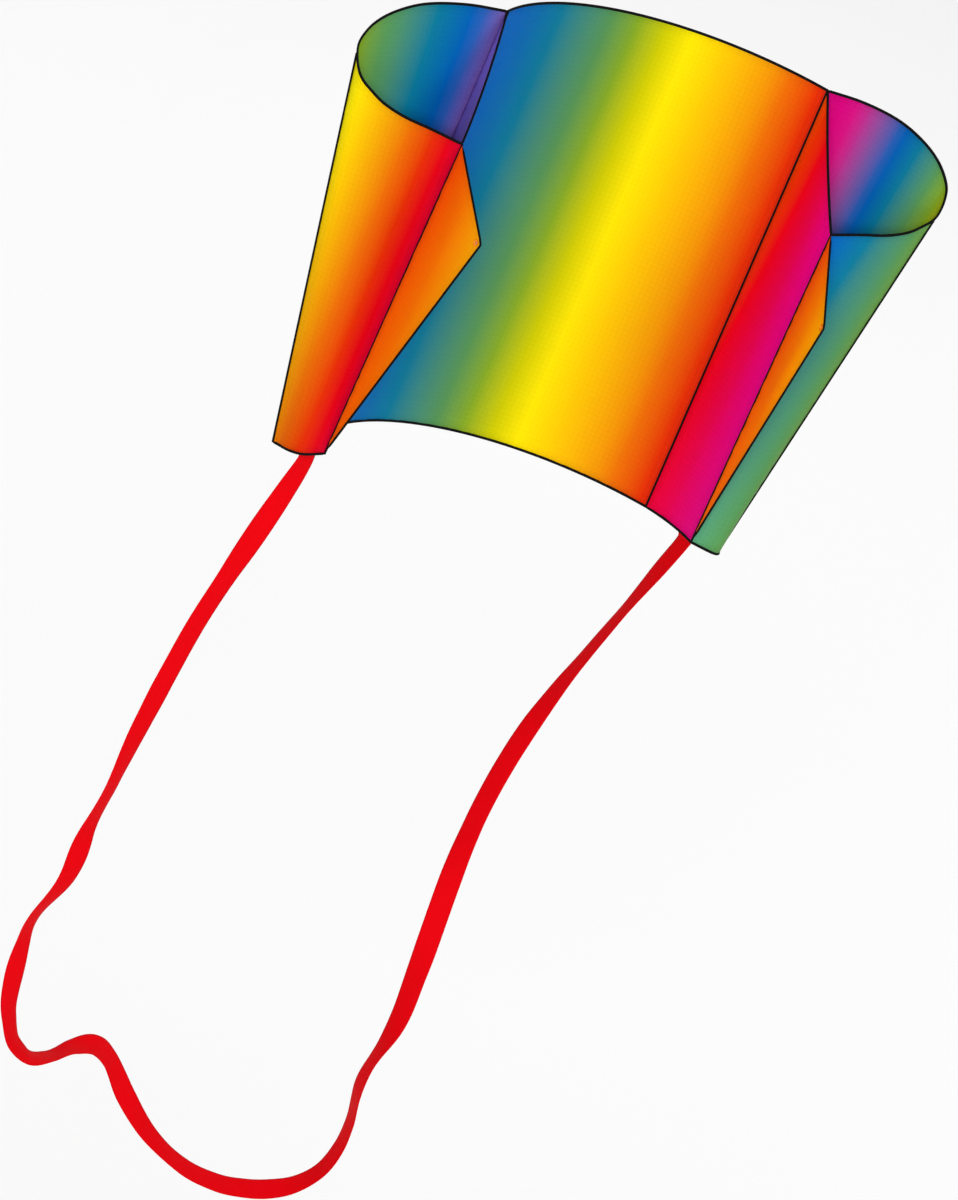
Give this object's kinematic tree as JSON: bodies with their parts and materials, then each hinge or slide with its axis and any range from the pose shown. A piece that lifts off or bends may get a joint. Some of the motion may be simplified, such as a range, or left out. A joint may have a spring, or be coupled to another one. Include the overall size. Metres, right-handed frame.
{
  "type": "sled kite",
  "caption": "Frameless sled kite: a curved canopy between two open ram-air cells, a hinged keel on each cell and a looped ribbon tail below.",
  "frame": {"origin": "on the windward face of the canopy at mid span, 0.3 m above the trailing edge, at the level of the keel tips", "axes": "+Z from the trailing edge to the leading edge, -Y towards the wind and the flyer, +X to the right as seen from the windward side"},
  "size_m": [0.7092, 0.2606, 1.3472],
  "materials": {
    "yellow_cloth": "ripstop polyester, rainbow shaded from blue through green and yellow to red",
    "violet_cloth": "ripstop polyester",
    "green_cloth": "ripstop polyester",
    "orange_cloth": "ripstop polyester",
    "magenta_cloth": "ripstop polyester",
    "teal_cloth": "ripstop polyester",
    "teal_green_cloth": "ripstop polyester",
    "keel_cloth": "ripstop polyester",
    "black_binding": "folded black tape",
    "orange_lacquer": "brass eyelet, lacquered in the keel's orange",
    "red_ribbon": "plain red ribbon"
  },
  "bodies": {
    "sail": {"canopy": "yellow_cloth", "left_cell_back": "green_cloth", "left_cell_front": "orange_cloth", "left_cell_wall": "violet_cloth", "right_cell_back": "teal_cloth", "right_cell_front": "teal_green_cloth", "right_cell_wall": "magenta_cloth", "leading_edge_binding": "black_binding", "trailing_edge_binding": "black_binding", "left_intake_binding": "black_binding", "left_outlet_binding": "black_binding", "left_seam_piping": "black_binding", "left_outer_piping": "black_binding", "left_keel_line_piping": "black_binding", "left_tail_tab": "red_ribbon", "right_intake_binding": "black_binding", "right_outlet_binding": "black_binding", "right_seam_piping": "black_binding", "right_outer_piping": "black_binding", "right_keel_line_piping": "black_binding", "right_tail_tab": "red_ribbon"},
    "left_keel": {"left_keel": "keel_cloth", "left_keel_binding": "black_binding", "left_keel_eyelet": "orange_lacquer"},
    "right_keel": {"right_keel": "keel_cloth", "right_keel_binding": "black_binding", "right_keel_eyelet": "orange_lacquer"},
    "tail": {"tail_ribbon": "red_ribbon"}
  },
  "joints": [
    {"name": "left_keel_hinge", "type": "hinge", "parent": "sail", "child": "left_keel", "pos_m": [-0.2205, -0.1526, -0.3], "axis": [-0.0027, -0.0254, 0.9997], "range_deg": [-56, 112]},
    {"name": "right_keel_hinge", "type": "hinge", "parent": "sail", "child": "right_keel", "pos_m": [0.2205, -0.1526, -0.3], "axis": [0.0027, -0.0254, 0.9997], "range_deg": [-112, 56]},
    {"name": "tail_swing", "type": "hinge", "parent": "sail", "child": "tail", "pos_m": [0, -0.13778, -0.30865], "axis": [1, 0, 0], "range_deg": [-75, 75]}
  ]
}
